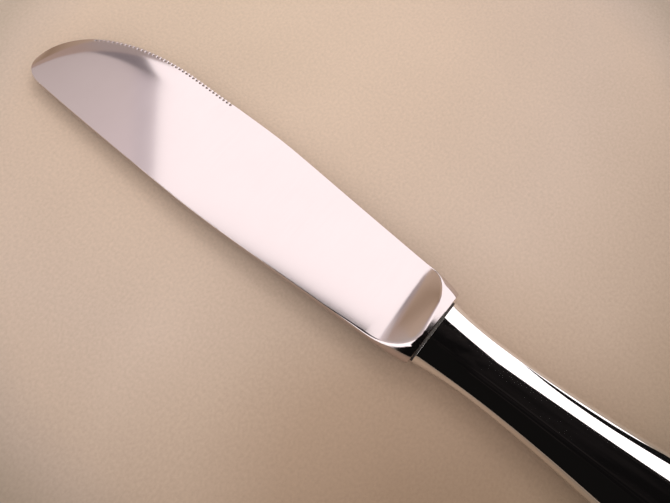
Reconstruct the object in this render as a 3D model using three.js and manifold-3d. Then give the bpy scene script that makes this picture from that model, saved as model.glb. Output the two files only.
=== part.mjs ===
// Table knife with a hollow silver handle, lying on its flank as on a table.
// Millimetres, +Z up, +X towards the tip, +Y towards the spine of the blade.
// The joint face between bolster and handle is the plane x = 0 until the whole knife is centred.
import * as THREE from 'three';
import { mergeVertices } from 'three/addons/utils/BufferGeometryUtils.js';
import Module from 'manifold-3d';

// Blade: a ground flank that thins from the spine to a serrated cutting edge
const bladeReach = 95.2; // from the joint face to the tip
const bladeWidth = 22.4; // from the deepest cutting edge to the highest spine
const heelPlace = 8.5; // from the joint face to the heel of the cutting edge
const spineThickness = 2.2; // at the heel
const spineTipThickness = 1.3;
const edgeThickness = 0.4;
const tipGrindWidth = 4; // least width over which the flank thins near the tip
const flankBulgeShare = 0.3;
const spineRounding = 2.4; // how far the rounding of the back reaches, were it as tall as the bolster

// Outline of the blade as Bezier points: share of the reach, share of the width from the axis
const heelShares = [-0.434, 0.367]; // of the width, to the edge and to the spine at the heel
const edgeBellyShares = [[0.547, -0.581], [0.377, -0.565], [0.698, -0.565]];
const edgeNoseShares = [[0.956, -0.565], [1, -0.031], [1, 0.143]];
const spineBackShares = [[0.269, 0.393], [0.409, 0.43], [0.528, 0.43]];
const spineFallShares = [[0.56, 0.43], [0.843, 0.395], [0.943, 0.366]];
const spineNoseShares = [[0.99, 0.36], [1, 0.24], [1, 0.143]];

// Serration: small notches along the belly of the cutting edge
const toothCount = 37;
const toothPitch = 0.9;
const toothDepth = 0.4;
const toothWidth = 0.5; // of a notch where it crosses the cutting edge
const toothPlace = 57.9; // from the joint face to the first notch

// Bolster: full round sides and a concave scoop that runs into each flank
const bolsterThickness = 8.2;
const bolsterOverhang = 1.65; // past the mouth of the handle on the cutting side
const bolsterLip = 0.65; // past the mouth of the handle on the spine side
const scoopPlace = 7; // from the joint face to where the flank turns up
const scoopBlend = 1.25; // before and after that place, over which the flank bends
const scoopRise = 0.57; // of the slope behind the bend, on the axis of the knife
const scoopTwist = 0.026; // less rise for each millimetre towards the spine
const bolsterSwellShares = [0.3, 0.75]; // of the heel's place and of its extra width

// Tang: the flat bar behind the bolster
const tangLength = 60;
const tangWidth = 7;
const tangThickness = 2.6;
const tangEndWidth = 5;
const tangEndThickness = 2;
const tangRoot = 1; // how deep the tang is rooted in the bolster

// Handle: two stamped half shells, a narrow and thin neck and a broad round end
const jointGap = 0.45; // between the bolster and the mouth, filled with cement
const handleLength = 116.5;
const mouthWidth = 13.4;
const mouthThickness = 8.4;
const waistWidth = 11.4;
const waistPlace = 11.2; // from the mouth to the narrowest section
const neckHollow = 1.6; // of each broad face there, below the level of mouth and swell
const swellPlace = 80; // from the mouth to where the handle has reached its full width
const buttWidth = 20.8;
const buttPlace = 88; // from the mouth to where the end starts to round off
const buttThickness = 11.8; // at the same place
const wallThickness = 0.55;
const seamThickness = 0.2;
const seamClearance = 0.02; // between the seam and the rim of each half shell
const flatShare = 0.32; // of a section's width that is flat on its broad face
const buttRoundShares = [2.4, 2]; // exponents of the round end

// Mouth plate and cement
const plateThickness = 0.8;
const plateClearance = 0.06; // round the plate inside the shells
const slotMargin = 0.7; // between the tang and the slot of the plate
const cementClearance = 0.12; // between the cement and the metal round it
const jointInset = 0.25; // how far the cement stays behind the rims at the joint
const jointClearance = 0.03; // between the cement and each side of the joint
const cementEnd = 12; // left empty at the butt end

// Overrun of every cut, and the least size that still counts as a point
const overrun = 2;
const mergeDistance = 0.00002;

// Counts of sections and of points round a section
const quarterSteps = 5;
const curveSteps = 48;
const bladeSteps = 18;
const tipSteps = 10;
const bolsterSteps = 4;
const scoopSteps = 9;
const handleSteps = 22;
const buttSteps = 8;
const flankShares = [-0.5, 0, 0.2, 0.45, 0.7, 1, 1.2]; // across the flank, from edge to spine

const wasm = await Module();
wasm.setup();

// Slope of the middle plane: the flat underside rests, so the middle falls towards the tip
const middleSlope = (buttThickness - mouthThickness) / (2 * buttPlace);
const middleAt = (x) => mouthThickness / 2 - middleSlope * (x + jointGap);

// Smooth step from 0 to 1 with flat ends
const ease = (t) => t * t * (3 - 2 * t);

// Places of the outline from shares of the blade
function outlinePoint([reachShare, widthShare]) {
  return new THREE.Vector2(bladeReach * reachShare, bladeWidth * widthShare);
}

// Outline curve through Bezier stretches that follow on from a start point
function outlineCurve(start, stretches) {
  const path = new THREE.CurvePath();
  let from = start;
  for (const stretch of stretches) {
    const [first, second, to] = stretch.map(outlinePoint);
    path.add(new THREE.CubicBezierCurve(from, first, second, to));
    from = to;
  }
  return path.curves.flatMap((curve) => curve.getPoints(curveSteps));
}

// Side of the bolster from the joint face to the heel
function bolsterSide(end, heel) {
  const [placeShare, widthShare] = bolsterSwellShares;
  const swell = new THREE.Vector2(heel.x * placeShare, end.y + (heel.y - end.y) * widthShare);
  return new THREE.QuadraticBezierCurve(end, swell, heel).getPoints(quarterSteps);
}

const [heelEdge, heelSpine] = heelShares.map((share) => new THREE.Vector2(heelPlace, bladeWidth * share));
const endEdge = new THREE.Vector2(0, -(mouthWidth / 2 + bolsterOverhang));
const endSpine = new THREE.Vector2(0, mouthWidth / 2 + bolsterLip);
const cuttingEdge = outlineCurve(heelEdge, [edgeBellyShares, edgeNoseShares]);
const spineLine = outlineCurve(heelSpine, [spineBackShares, spineFallShares, spineNoseShares]);
const edgeOutline = [...bolsterSide(endEdge, heelEdge), ...cuttingEdge];
const spineOutline = [...bolsterSide(endSpine, heelSpine), ...spineLine];

// Place across the knife of an outline at a place along it
function acrossAt(outline, x) {
  const next = outline.findIndex((point) => point.x >= x);
  if (next === 0) return outline[0].y;
  if (next < 0) return outline[outline.length - 1].y;
  const [low, high] = [outline[next - 1], outline[next]];
  const share = (x - low.x) / Math.max(high.x - low.x, mergeDistance);
  return low.y + (high.y - low.y) * share;
}

// Section with a flat top and bottom and elliptical sides, as a ring seen from the tip
function roundRing(x, across, up, halfWidth, halfHeight, flat = halfWidth * flatShare) {
  const ring = [];
  for (let quarter = 0; quarter < 4; quarter += 1) {
    const side = quarter === 0 || quarter === 3 ? 1 : -1;
    for (let step = 0; step <= quarterSteps; step += 1) {
      const angle = (quarter + step / quarterSteps) * (Math.PI / 2);
      const y = side * flat + (halfWidth - flat) * Math.cos(angle);
      ring.push(new THREE.Vector3(x, across + y, up + halfHeight * Math.sin(angle)));
    }
  }
  return ring;
}

// Rectangular section as a ring seen from the tip
function boxRing(x, across, low, high, halfWidth) {
  return [
    new THREE.Vector3(x, across + halfWidth, low),
    new THREE.Vector3(x, across + halfWidth, high),
    new THREE.Vector3(x, across - halfWidth, high),
    new THREE.Vector3(x, across - halfWidth, low),
  ];
}

// Closed body through a row of rings with equal counts of points
function loft(rings) {
  const row = rings[0][0].x < rings[rings.length - 1][0].x ? rings : [...rings].reverse();
  const count = row[0].length;
  const faces = [];
  for (let i = 0; i + 1 < row.length; i += 1) {
    for (let j = 0; j < count; j += 1) {
      const [a, b] = [i * count + j, i * count + ((j + 1) % count)];
      faces.push([a, b, b + count], [a, b + count, a + count]);
    }
  }
  const last = (row.length - 1) * count;
  for (let j = 1; j + 1 < count; j += 1) {
    faces.push([0, j + 1, j], [last, last + j, last + j + 1]);
  }
  const geometry = new THREE.BufferGeometry().setFromPoints(row.flat());
  geometry.setIndex(faces.flat());
  return solidOf(geometry);
}

// Solid of a closed geometry, with shared vertices merged and collapsed faces dropped
function solidOf(geometry) {
  geometry.deleteAttribute('normal');
  geometry.deleteAttribute('uv');
  const merged = mergeVertices(geometry, mergeDistance);
  const triangles = [];
  for (let i = 0; i < merged.index.count; i += 3) {
    const face = [merged.index.getX(i), merged.index.getX(i + 1), merged.index.getX(i + 2)];
    if (new Set(face).size === 3) triangles.push(...face);
  }
  return new wasm.Manifold(new wasm.Mesh({
    numProp: 3,
    vertProperties: new Float32Array(merged.attributes.position.array),
    triVerts: new Uint32Array(triangles),
  }));
}

// Geometry of a solid
function geometryOf(solid) {
  const { vertProperties, triVerts } = solid.getMesh();
  const geometry = new THREE.BufferGeometry();
  geometry.setAttribute('position', new THREE.BufferAttribute(new Float32Array(vertProperties), 3));
  geometry.setIndex(new THREE.BufferAttribute(new Uint32Array(triVerts), 1));
  return geometry;
}

// Even places from one value to another
function places(from, to, steps) {
  return Array.from({ length: steps + 1 }, (_, i) => from + ((to - from) * i) / steps);
}

// Places that crowd towards the far end, where an outline turns round
function crowdedPlaces(from, to, steps) {
  return places(0, Math.PI / 2, steps).map((angle) => from + (to - from) * Math.sin(angle));
}

// Places from a start to the tip, crowded where the nose turns round
function bladePlaces(start) {
  const shoulder = bladeReach - bladeWidth / 2;
  const nose = crowdedPlaces(shoulder, bladeReach, tipSteps).slice(1);
  return [...places(start, shoulder, bladeSteps), ...nose];
}

// Full round body of bolster and blade, before the flanks are ground
function roundBody() {
  const stations = [...places(0, heelPlace, bolsterSteps), ...bladePlaces(heelPlace).slice(1)];
  return loft(stations.map((x) => {
    const [low, high] = [acrossAt(edgeOutline, x), acrossAt(spineOutline, x)];
    const [middle, half] = [(low + high) / 2, (high - low) / 2];
    const thinned = THREE.MathUtils.clamp(x / heelPlace - 1, 0, 1);
    const flat = THREE.MathUtils.lerp(half * flatShare, Math.max(half - spineRounding, 0), thinned);
    return roundRing(x, middle, middleAt(x), half, bolsterThickness / 2, flat);
  }));
}

// Half thickness of the ground blade at a place along it and a share from edge to spine
function flankHeight(x, share) {
  const along = THREE.MathUtils.clamp((x - heelPlace) / (bladeReach - heelPlace), 0, 1);
  const spine = THREE.MathUtils.lerp(spineThickness, spineTipThickness, along);
  const across = THREE.MathUtils.clamp(share, 0, 1);
  const rise = across * (1 + flankBulgeShare * (1 - across));
  return (edgeThickness + (spine - edgeThickness) * rise) / 2;
}

// Height of the scoop above the flank, a ramp that starts in a bend
function scoopHeight(x, y) {
  const run = scoopPlace - x;
  const bend = Math.max(Math.min(run, scoopBlend) + scoopBlend, 0) ** 2 / (4 * scoopBlend);
  return (bend + Math.max(run - scoopBlend, 0)) * (scoopRise - scoopTwist * y);
}

// Space between the two ground flanks and their scoops
function flankBody() {
  const bendEnd = scoopPlace + scoopBlend;
  const stations = [
    -overrun,
    ...places(0, bendEnd, scoopSteps),
    ...bladePlaces(bendEnd).slice(1),
    bladeReach + overrun,
  ];
  return loft(stations.map((x) => {
    const spine = acrossAt(spineOutline, Math.min(x, bladeReach * spineFallShares[2][0]));
    const edge = Math.min(acrossAt(edgeOutline, x), spine - tipGrindWidth);
    const points = flankShares.map((share) => {
      const y = edge + (spine - edge) * share;
      return { y, height: flankHeight(x, share) + scoopHeight(x, y) };
    });
    const upper = points.map(({ y, height }) => new THREE.Vector3(x, y, middleAt(x) + height));
    const lower = points.map(({ y, height }) => new THREE.Vector3(x, y, middleAt(x) - height));
    return [...lower, ...upper.reverse()];
  }));
}

// One notch of the serration: a wedge with its foot as far outside the edge as its point is inside
function notch(place, inward) {
  const across = inward.clone().rotateAround(new THREE.Vector2(), Math.PI / 2);
  const outer = place.clone().addScaledVector(inward, -toothDepth);
  const shape = new THREE.Shape([
    outer.clone().addScaledVector(across, toothWidth),
    place.clone().addScaledVector(inward, toothDepth),
    outer.clone().addScaledVector(across, -toothWidth),
  ]);
  const geometry = new THREE.ExtrudeGeometry(shape, { depth: spineThickness * 2, bevelEnabled: false });
  geometry.translate(0, 0, middleAt(place.x) - spineThickness);
  return solidOf(geometry);
}

// Notches at an even pitch along the cutting edge, towards the tip
function serration() {
  const notches = [];
  let x = toothPlace;
  for (let i = 0; i < toothCount; i += 1) {
    const [place, next] = [x, x + toothPitch].map((at) => new THREE.Vector2(at, acrossAt(edgeOutline, at)));
    const direction = next.clone().sub(place).normalize();
    notches.push(notch(place, new THREE.Vector2(-direction.y, direction.x)));
    x += toothPitch * direction.x;
  }
  return wasm.Manifold.union(notches);
}

// Flat bar behind the bolster; the margin makes the sleeve or slot round it
function tang(front, back, margin) {
  return loft([front, back].map((x) => {
    const along = THREE.MathUtils.clamp(-x / tangLength, 0, 1);
    const half = THREE.MathUtils.lerp(tangWidth, tangEndWidth, along) / 2 + margin;
    const rise = THREE.MathUtils.lerp(tangThickness, tangEndThickness, along) / 2 + margin;
    return boxRing(x, 0, middleAt(x) - rise, middleAt(x) + rise, half);
  }));
}

// Blade, bolster and tang in one forging
function bladeForging() {
  const ground = roundBody().intersect(flankBody()).subtract(serration());
  return ground.add(tang(tangRoot, -tangLength, 0));
}

// Shares of the flare at the mouth and of the swell that are left at a distance behind the mouth
function handleShares(back) {
  const flare = Math.max(1 - back / waistPlace, 0) ** 2;
  const swell = ease(THREE.MathUtils.clamp((back - waistPlace) / (swellPlace - waistPlace), 0, 1));
  return [flare, swell];
}

// Fall of the round end at a distance behind the mouth, from 1 to 0
function roundFall(back) {
  const [power, root] = buttRoundShares;
  const share = THREE.MathUtils.clamp((back - buttPlace) / (handleLength - buttPlace), 0, 1);
  return (1 - share ** power) ** (1 / root);
}

// Half width of the handle at a distance behind its mouth
function handleHalfWidth(back) {
  const [flare, swell] = handleShares(back);
  const width = waistWidth + (mouthWidth - waistWidth) * flare + (buttWidth - waistWidth) * swell;
  return (width / 2) * roundFall(back);
}

// Half thickness of the handle at a distance behind its mouth
function handleHalfHeight(back) {
  const [flare, swell] = handleShares(back);
  const level = mouthThickness / 2 + middleSlope * Math.min(back, buttPlace);
  return (level - neckHollow * (1 - flare - swell)) * roundFall(back);
}

// Sections of the handle, the same for every body that follows its shape
const handleStations = [...new Set([
  ...places(0, buttPlace, handleSteps),
  ...crowdedPlaces(buttPlace, handleLength, buttSteps),
])];

// Body of the handle's shape, drawn in by a wall or a clearance, between two distances from the mouth
function handleBody(from, to, inset) {
  const end = Math.min(to, handleLength - inset);
  const between = handleStations.filter((back) => back > from && back < end);
  return loft([from, ...between, end].map((back) => {
    const reached = Math.max(back, 0);
    const open = back < handleLength - inset ? 1 : 0;
    const half = Math.max(handleHalfWidth(reached) - inset, 0) * open;
    const rise = Math.max(handleHalfHeight(reached) - inset, 0) * open;
    const x = -jointGap - back;
    return roundRing(x, 0, middleAt(x), half, rise);
  }));
}

// Slab on one side of the middle plane, or about it
function slab(low, high) {
  const ends = [overrun, -jointGap - handleLength - overrun];
  return loft(ends.map((x) => boxRing(x, 0, middleAt(x) + low, middleAt(x) + high, buttWidth)));
}

// The sheet metal of the whole handle, before it is parted along the seam
function handleSheet() {
  return handleBody(0, handleLength, 0).subtract(handleBody(-overrun, handleLength, wallThickness));
}

// Plate that closes the mouth, slotted for the tang
function mouthPlate() {
  const plate = handleBody(0, plateThickness, wallThickness + plateClearance);
  return plate.subtract(tang(overrun, -jointGap - plateThickness - overrun, slotMargin));
}

// Cement in the handle, through the slot and in the joint, with the tang's own space left open
function handleCement() {
  const inner = wallThickness + cementClearance;
  const filling = handleBody(plateThickness + cementClearance, handleLength - cementEnd, inner);
  const neckEnd = -jointGap - plateThickness - overrun;
  const neck = tang(-jointClearance, neckEnd, slotMargin - cementClearance);
  const layerEnds = [-jointClearance, -jointGap + jointClearance];
  const layer = loft(layerEnds.map((x) => {
    const [half, rise] = [mouthWidth / 2 - jointInset, mouthThickness / 2 - jointInset];
    return roundRing(x, 0, middleAt(x), half, rise);
  }));
  const sleeve = tang(overrun, -tangLength - cementClearance, cementClearance);
  return filling.add(neck).add(layer).subtract(sleeve);
}

const steel = () => new THREE.MeshStandardMaterial({ color: 0xd8d2d0, roughness: 0.3, metalness: 1 });
const silver = () => new THREE.MeshStandardMaterial({ color: 0xe6e2dc, roughness: 0.08, metalness: 1 });
const solder = () => new THREE.MeshStandardMaterial({ color: 0xcfc8ba, roughness: 0.25, metalness: 1 });
const cement = () => new THREE.MeshStandardMaterial({ color: 0x2b241f, roughness: 0.9, metalness: 0 });

// Named mesh of one solid
function piece(name, solid, material) {
  const mesh = new THREE.Mesh(geometryOf(solid), material);
  mesh.name = name;
  return mesh;
}

const sheet = handleSheet();
const halfSeam = seamThickness / 2;
const rim = halfSeam + seamClearance;
const upperShell = sheet.intersect(slab(rim, buttThickness));
const lowerShell = sheet.intersect(slab(-buttThickness, -rim));
const knife = new THREE.Group();
knife.add(piece('blade', bladeForging(), steel()));
knife.add(piece('handle_shell_upper', upperShell, silver()));
knife.add(piece('handle_shell_lower', lowerShell, silver()));
knife.add(piece('solder_seam', sheet.intersect(slab(-halfSeam, halfSeam)), solder()));
knife.add(piece('mouth_plate', mouthPlate(), silver()));
knife.add(piece('handle_cement', handleCement(), cement()));

// The origin is below the middle of the knife's box, on the surface that it lies on
const box = new THREE.Box3().setFromObject(knife, true);
const centre = box.getCenter(new THREE.Vector3());
knife.position.set(-centre.x, -centre.y, -box.min.z);

export default knife;
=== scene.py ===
"""Table knife with a hollow silver handle, lying on its flank on a pale paper table."""

import logging
import math
from dataclasses import dataclass, field
from enum import Enum

import bmesh
import bpy
import numpy as np
from mathutils import Matrix, Vector


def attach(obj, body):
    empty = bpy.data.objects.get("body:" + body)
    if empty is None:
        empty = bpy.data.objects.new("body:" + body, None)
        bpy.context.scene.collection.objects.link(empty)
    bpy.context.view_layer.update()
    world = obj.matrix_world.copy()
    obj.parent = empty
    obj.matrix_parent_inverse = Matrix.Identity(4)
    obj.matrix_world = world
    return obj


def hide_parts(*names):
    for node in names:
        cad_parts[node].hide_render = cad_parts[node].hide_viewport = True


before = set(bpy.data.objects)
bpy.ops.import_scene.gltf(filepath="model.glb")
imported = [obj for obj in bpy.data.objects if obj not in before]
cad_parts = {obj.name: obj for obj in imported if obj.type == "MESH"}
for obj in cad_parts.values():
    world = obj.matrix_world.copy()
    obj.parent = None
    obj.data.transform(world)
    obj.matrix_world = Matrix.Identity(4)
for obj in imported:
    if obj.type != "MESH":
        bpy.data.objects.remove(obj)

LOG = logging.getLogger("table_knife")
MILLIMETRE = 0.001
BODY = "root"
MERGE_DISTANCE = 1e-7
LEAST_EDGE = 1e-8
CREASE_DEGREES = 38.0
ROUNDING_STEPS = 6
OUTLINE_POINTS = 500
BLACK = (0.0, 0.0, 0.0, 1.0)

Colour = tuple[float, float, float]
Triple = tuple[float, float, float]


class Sight(Enum):
    """Which rays see an object of the studio."""

    ALL = "all"
    MIRROR_ONLY = "mirror_only"


def smooth_min(a: np.ndarray, b: np.ndarray, width: np.ndarray | float) -> np.ndarray:
    """Lesser of two heights, with a rounded ridge where they cross.

    Args:
        a: First height.
        b: Second height.
        width: How far apart the heights are where the rounding ends.

    Returns:
        The rounded lesser height.
    """
    share = np.clip(0.5 + 0.5 * (b - a) / width, 0.0, 1.0)
    return b * (1 - share) + a * share - width * share * (1 - share)


def ease(share: np.ndarray) -> np.ndarray:
    """Smooth step from 0 to 1 with flat ends."""
    return share * share * (3 - 2 * share)


def crowded(start: float, end: float, count: int) -> np.ndarray:
    """Places from start to end that crowd towards the end.

    Args:
        start: First place.
        end: Last place.
        count: Number of steps.

    Returns:
        The places, both ends included.
    """
    return start + (end - start) * np.sin(np.linspace(0, math.pi / 2, count + 1))


class Wire:
    """A shader socket on which arithmetic adds the nodes it needs."""

    def __init__(self, shader: "Shader", socket: bpy.types.NodeSocket) -> None:
        """Wraps a socket of a shader's node."""
        self.shader = shader
        self.socket = socket

    def _join(self, operation: str, first: "Wire | float", second: "Wire | float") -> "Wire":
        """Adds one arithmetic node.

        Args:
            operation: The node's operation.
            first: First operand.
            second: Second operand.

        Returns:
            The result.
        """
        inputs = {0: first, 1: second}
        return self.shader.node("ShaderNodeMath", {"operation": operation}, inputs).out()

    def __add__(self, other: "Wire | float") -> "Wire":
        """Sum."""
        return self._join("ADD", self, other)

    def __radd__(self, other: float) -> "Wire":
        """Sum with the number first."""
        return self._join("ADD", other, self)

    def __sub__(self, other: "Wire | float") -> "Wire":
        """Difference."""
        return self._join("SUBTRACT", self, other)

    def __rsub__(self, other: float) -> "Wire":
        """Difference with the number first."""
        return self._join("SUBTRACT", other, self)

    def __mul__(self, other: "Wire | float") -> "Wire":
        """Product."""
        return self._join("MULTIPLY", self, other)

    def __rmul__(self, other: float) -> "Wire":
        """Product with the number first."""
        return self._join("MULTIPLY", other, self)


class Built:
    """A node that has been placed, with its outputs at hand."""

    def __init__(self, shader: "Shader", node: bpy.types.Node) -> None:
        """Keeps the node and its shader."""
        self.shader = shader
        self.node = node

    def out(self, name: str | int = 0) -> Wire:
        """Output socket of the node, wrapped for arithmetic."""
        return Wire(self.shader, self.node.outputs[name])


class Shader:
    """Node tree of a material or of the world, filled node by node."""

    def __init__(self, owner: bpy.types.Material | bpy.types.World) -> None:
        """Empties the owner's node tree and keeps it.

        Args:
            owner: The material or world that gets the nodes.
        """
        owner.use_nodes = True
        self.tree = owner.node_tree
        self.tree.nodes.clear()

    def node(self, kind: str, settings: dict, inputs: dict) -> Built:
        """Adds a node of any type.

        Args:
            kind: The node's type.
            settings: Its properties, or a ramp's stops under the name "stops".
            inputs: Value or wire for each input, by name or place.

        Returns:
            The placed node.
        """
        made = self.tree.nodes.new(kind)
        for name, value in settings.items():
            if name == "stops":
                self._set_stops(made.color_ramp, value)
            else:
                setattr(made, name, value)
        for name, value in inputs.items():
            if isinstance(value, Wire):
                self.tree.links.new(value.socket, made.inputs[name])
            else:
                made.inputs[name].default_value = value
        return Built(self, made)

    @staticmethod
    def _set_stops(ramp: bpy.types.ColorRamp, stops: list) -> None:
        """Gives a ramp its stops.

        Args:
            ramp: The ramp.
            stops: Pairs of place and grey, or of place and colour.
        """
        while len(ramp.elements) < len(stops):
            ramp.elements.new(1.0)
        for element, (place, tone) in zip(ramp.elements, stops):
            element.position = place
            shade = (tone, tone, tone) if isinstance(tone, float) else tone
            element.color = (*shade, 1.0)

    def place(self, scale: Triple) -> Wire:
        """Place on the object in metres, stretched along its three axes.

        Args:
            scale: Factor for each axis.

        Returns:
            The stretched place.
        """
        here = self.node("ShaderNodeTexCoord", {}, {}).out("Object")
        settings = {"operation": "MULTIPLY"}
        return self.node("ShaderNodeVectorMath", settings, {0: here, 1: scale}).out()

    def grain(self, scale: Triple, detail: float) -> Wire:
        """Soft noise between 0 and 1, stretched along the three axes.

        Args:
            scale: Cycles per metre along each axis.
            detail: Octaves of the noise.

        Returns:
            The noise.
        """
        inputs = {"Vector": self.place(scale), "Scale": 1.0, "Detail": detail}
        return self.node("ShaderNodeTexNoise", {"noise_dimensions": "3D"}, inputs).out(0)

    @staticmethod
    def swing(noise: Wire, amount: float) -> Wire:
        """Noise that swings evenly round zero, by an amount in all."""
        return (noise - 0.5) * amount

    def along(self, axis: str) -> Wire:
        """Coordinate of the object along one axis, in metres."""
        here = self.node("ShaderNodeTexCoord", {}, {}).out("Object")
        return self.node("ShaderNodeSeparateXYZ", {}, {0: here}).out(axis)

    def ramp(self, value: Wire, stops: list) -> Wire:
        """Tone that follows a value through stops.

        Args:
            value: The value to follow.
            stops: Pairs of place and tone.

        Returns:
            The tone or colour.
        """
        return self.node("ShaderNodeValToRGB", {"stops": stops}, {0: value}).out()

    def blend(self, share: Wire, first: Colour | Wire, second: Colour | Wire) -> Wire:
        """Colour between two colours.

        Args:
            share: 0 for the first colour, 1 for the second.
            first: First colour.
            second: Second colour.

        Returns:
            The blended colour.
        """
        full = [value if isinstance(value, Wire) else (*value, 1.0) for value in (first, second)]
        made = self.node("ShaderNodeMix", {"data_type": "RGBA"}, {0: share, 6: full[0], 7: full[1]})
        return made.out(2)

    def multiply(self, first: Wire, second: Wire) -> Wire:
        """Product of two colours."""
        settings = {"data_type": "RGBA", "blend_type": "MULTIPLY"}
        return self.node("ShaderNodeMix", settings, {0: 1.0, 6: first, 7: second}).out(2)

    def bump(self, height: Wire, distance: float) -> Wire:
        """Surface direction bent by a height.

        Args:
            height: The height, as a share of the distance.
            distance: Full height in metres.

        Returns:
            The bent direction.
        """
        inputs = {"Height": height, "Distance": distance, "Strength": 1.0}
        return self.node("ShaderNodeBump", {}, inputs).out()

    def finish(self, settings: dict) -> None:
        """Ends the material in one principled surface with these sockets."""
        surface = self.node("ShaderNodeBsdfPrincipled", {}, settings).out()
        self.node("ShaderNodeOutputMaterial", {}, {"Surface": surface})

    def shine(self, glow: Wire) -> None:
        """Ends the material in a black surface that gives off a colour."""
        inputs = {"Base Color": BLACK, "Roughness": 1.0, "Specular IOR Level": 0.0}
        self.finish(inputs | {"Emission Color": glow, "Emission Strength": 1.0})


@dataclass(frozen=True)
class Finish:
    """Finish of a surface; each kind lays its own nodes."""

    name: str

    def make(self) -> bpy.types.Material:
        """Makes the material of this finish.

        Returns:
            The material.
        """
        material = bpy.data.materials.new(self.name)
        self.lay(Shader(material))
        return material

    def lay(self, shader: Shader) -> None:
        """Lays the nodes of the finish in a material's node tree."""
        raise NotImplementedError(self.name)


@dataclass(frozen=True)
class ForgedSteel(Finish):
    """Stainless steel: flanks ground across the blade, bolster polished."""

    name: str = "forged_steel"
    colour: Colour = (0.65, 0.59, 0.585)
    shade: Colour = (0.60, 0.535, 0.53)
    flank_roughness: float = 0.085
    scoop_roughness: float = 0.15
    bolster_roughness: float = 0.06
    scoop_reach: tuple[float, float, float, float] = (0.0122, 0.0142, 0.0182, 0.0202)
    reach_scale: float = 25.0
    line_grain: Triple = (5200.0, 160.0, 160.0)
    cloud_grain: Triple = (90.0, 130.0, 90.0)
    line_share: float = 0.6
    line_unevenness: float = 0.03
    cloud_unevenness: float = 0.02
    line_height: float = 0.0000008
    bolster_line_share: float = 0.25

    def lay(self, shader: Shader) -> None:
        """Lays the ground lines, which fade out towards the bolster.

        Args:
            shader: Node tree of the material.
        """
        lines = shader.grain(self.line_grain, 4.0)
        cloud = shader.grain(self.cloud_grain, 2.0)
        tones = (self.bolster_roughness, self.scoop_roughness, self.scoop_roughness, self.flank_roughness)
        stops = [(place * self.reach_scale, tone) for place, tone in zip(self.scoop_reach, tones)]
        base = shader.ramp(shader.along("X") * self.reach_scale, stops)
        rough = base + shader.swing(lines, self.line_unevenness)
        rough += shader.swing(cloud, self.cloud_unevenness)
        fade = [(stops[0][0], self.bolster_line_share), (stops[3][0], 1.0)]
        ground = shader.ramp(shader.along("X") * self.reach_scale, fade)
        mottle = lines * self.line_share + cloud * (1 - self.line_share)
        tint = shader.blend(mottle, self.shade, self.colour)
        bent = shader.bump(lines * ground, self.line_height)
        shader.finish({"Base Color": tint, "Metallic": 1.0, "Roughness": rough, "Normal": bent})


@dataclass(frozen=True)
class PolishedSilver(Finish):
    """Silver with a mirror polish, and hairlines along the handle from years of wiping."""

    name: str = "polished_silver"
    colour: Colour = (0.93, 0.915, 0.90)
    worn: Colour = (0.86, 0.83, 0.80)
    roughness: float = 0.022
    wiped_roughness: float = 0.02
    hair_unevenness: float = 0.01
    hair_grain: Triple = (45.0, 3800.0, 3800.0)
    hair_height: float = 0.00000015
    wipe_grain: Triple = (35.0, 420.0, 420.0)
    wipe_stops: tuple = ((0.45, 0.0), (0.75, 1.0))
    wear_share: float = 0.5

    def lay(self, shader: Shader) -> None:
        """Lays the hairlines and the wiped stretches.

        Args:
            shader: Node tree of the material.
        """
        hairs = shader.grain(self.hair_grain, 4.0)
        wipes = shader.grain(self.wipe_grain, 3.0)
        marks = shader.ramp(wipes, list(self.wipe_stops))
        rough = self.roughness + marks * self.wiped_roughness + shader.swing(hairs, self.hair_unevenness)
        tint = shader.blend(marks * self.wear_share, self.colour, self.worn)
        bent = shader.bump(hairs, self.hair_height)
        shader.finish({"Base Color": tint, "Metallic": 1.0, "Roughness": rough, "Normal": bent})


@dataclass(frozen=True)
class FiledSolder(Finish):
    """Silver solder, filed flush and polished with the shells."""

    name: str = "filed_solder"
    colour: Colour = (0.84, 0.80, 0.74)
    pitted: Colour = (0.66, 0.61, 0.55)
    roughness: float = 0.14
    unevenness: float = 0.12
    pit_grain: Triple = (2600.0, 2600.0, 2600.0)
    pit_stops: tuple = ((0.4, 0.0), (0.7, 1.0))
    file_grain: Triple = (240.0, 5200.0, 5200.0)
    file_height: float = 0.000001

    def lay(self, shader: Shader) -> None:
        """Lays the pits and the marks of the file.

        Args:
            shader: Node tree of the material.
        """
        pits = shader.grain(self.pit_grain, 3.0)
        file_marks = shader.grain(self.file_grain, 2.0)
        tint = shader.blend(shader.ramp(pits, list(self.pit_stops)), self.colour, self.pitted)
        rough = self.roughness + shader.swing(file_marks, self.unevenness)
        bent = shader.bump(file_marks, self.file_height)
        shader.finish({"Base Color": tint, "Metallic": 1.0, "Roughness": rough, "Normal": bent})


@dataclass(frozen=True)
class ResinCement(Finish):
    """Dark resin and chalk cement, as it shows in the joint."""

    name: str = "resin_cement"
    colour: Colour = (0.030, 0.024, 0.020)
    chalk: Colour = (0.075, 0.062, 0.052)
    roughness: float = 0.82
    unevenness: float = 0.2
    chalk_grain: Triple = (3400.0, 3400.0, 3400.0)
    chalk_stops: tuple = ((0.42, 0.0), (0.68, 1.0))
    chalk_height: float = 0.00003

    def lay(self, shader: Shader) -> None:
        """Lays the grains of chalk.

        Args:
            shader: Node tree of the material.
        """
        grains = shader.grain(self.chalk_grain, 5.0)
        tint = shader.blend(shader.ramp(grains, list(self.chalk_stops)), self.colour, self.chalk)
        rough = self.roughness + shader.swing(grains, self.unevenness)
        bent = shader.bump(grains, self.chalk_height)
        shader.finish({"Base Color": tint, "Roughness": rough, "Normal": bent})


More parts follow.
